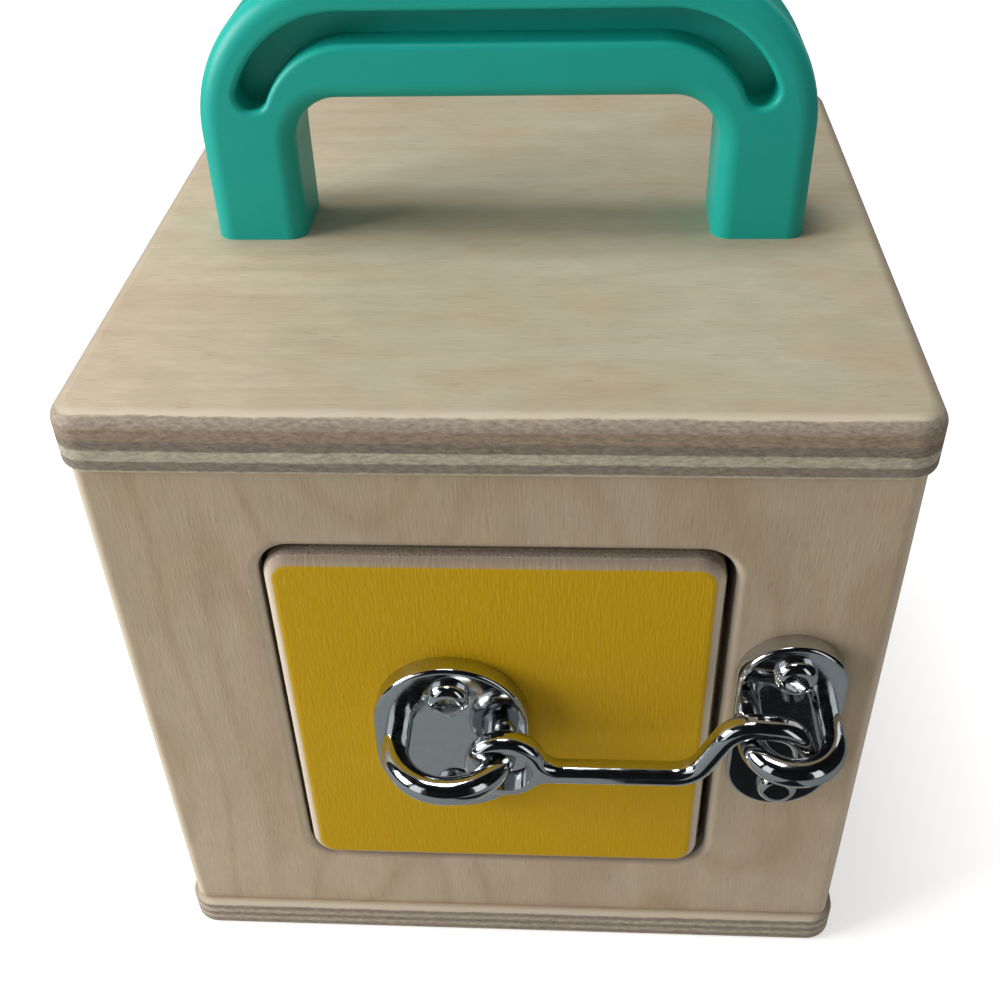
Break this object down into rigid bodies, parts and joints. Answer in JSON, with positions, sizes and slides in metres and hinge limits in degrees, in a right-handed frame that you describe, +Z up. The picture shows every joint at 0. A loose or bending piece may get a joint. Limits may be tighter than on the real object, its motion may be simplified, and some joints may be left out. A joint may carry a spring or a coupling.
{
  "type": "wooden lock box",
  "caption": "Plywood cube with a hinged, latched door in each side and a moulded carrying handle on top, for opening and closing.",
  "frame": {"origin": "middle of the underside of the bottom board", "axes": "+Z up, front with the hook toward -Y, +X to the right seen from the front"},
  "size_m": [0.1806, 0.1872, 0.1981],
  "materials": {
    "birch_plywood": "clear satin lacquer",
    "turned_beech": "bare",
    "yellow_painted_birch": "satin paint on the face",
    "red_painted_birch": "satin paint on the face",
    "blue_painted_birch": "satin paint on the face",
    "green_painted_birch": "satin paint on the face",
    "chrome_plated_zinc": "mirror plated",
    "zinc_plated_steel": "plated",
    "teal_moulded_plastic": "satin moulded"
  },
  "bodies": {
    "box": {"bottom_board": "birch_plywood", "top_board": "birch_plywood", "front_wall": "birch_plywood", "right_wall": "birch_plywood", "back_wall": "birch_plywood", "left_wall": "birch_plywood", "bottom_dowels": "turned_beech", "top_dowels": "turned_beech", "front_pins": "zinc_plated_steel", "right_pins": "zinc_plated_steel", "back_pins": "zinc_plated_steel", "left_pins": "zinc_plated_steel", "front_stop": "turned_beech", "right_stop": "turned_beech", "back_stop": "turned_beech", "left_stop": "turned_beech", "handle": "teal_moulded_plastic", "handle_screws": "zinc_plated_steel", "keeper_plate": "chrome_plated_zinc", "keeper_screws": "chrome_plated_zinc", "bolt_keeper": "chrome_plated_zinc", "bolt_keeper_screws": "chrome_plated_zinc", "button_washer": "zinc_plated_steel", "button_screw": "chrome_plated_zinc", "hasp_staple": "chrome_plated_zinc", "staple_screws": "chrome_plated_zinc"},
    "front_leaf": {"front_door": "yellow_painted_birch", "eye_plate": "chrome_plated_zinc", "eye_screws": "chrome_plated_zinc"},
    "latch_hook": {"hook": "chrome_plated_zinc"},
    "right_leaf": {"right_door": "red_painted_birch", "bolt_plate": "chrome_plated_zinc", "bolt_screws": "chrome_plated_zinc"},
    "sliding_bolt": {"bolt": "chrome_plated_zinc"},
    "left_leaf": {"left_door": "green_painted_birch", "left_knob": "turned_beech", "knob_screw": "zinc_plated_steel"},
    "button": {"turn_button": "teal_moulded_plastic"},
    "back_leaf": {"back_door": "blue_painted_birch", "hasp_leaf": "chrome_plated_zinc", "hasp_pin": "zinc_plated_steel", "hasp_screws": "chrome_plated_zinc"},
    "strap": {"hasp_strap": "chrome_plated_zinc"}
  },
  "joints": [
    {"name": "front_door_swing", "type": "hinge", "parent": "box", "child": "front_leaf", "pos_m": [-0.0352, -0.07065, 0.0722], "axis": [0, 0, -1], "range_deg": [0, 105]},
    {"name": "right_door_swing", "type": "hinge", "parent": "box", "child": "right_leaf", "pos_m": [0.07065, -0.0352, 0.0722], "axis": [0, 0, -1], "range_deg": [0, 105]},
    {"name": "back_door_swing", "type": "hinge", "parent": "box", "child": "back_leaf", "pos_m": [0.0352, 0.07065, 0.0722], "axis": [0, 0, -1], "range_deg": [0, 105]},
    {"name": "left_door_swing", "type": "hinge", "parent": "box", "child": "left_leaf", "pos_m": [-0.07065, 0.0352, 0.0722], "axis": [0, 0, -1], "range_deg": [0, 105]},
    {"name": "hook_lift", "type": "hinge", "parent": "front_leaf", "child": "latch_hook", "pos_m": [0.0016, -0.0857, 0.0726], "axis": [0, -1, 0], "range_deg": [0, 90]},
    {"name": "bolt_throw", "type": "slide", "parent": "right_leaf", "child": "sliding_bolt", "axis": [0, 1, 0], "range_m": [0, 0.012]},
    {"name": "button_turn", "type": "hinge", "parent": "box", "child": "button", "pos_m": [-0.0777, -0.05555, 0.0722], "axis": [-1, 0, 0], "range_deg": [0, 90]},
    {"name": "strap_swing", "type": "hinge", "parent": "back_leaf", "child": "strap", "pos_m": [-0.03, 0.079, 0.0722], "axis": [0, 0, -1], "range_deg": [0, 110]}
  ]
}
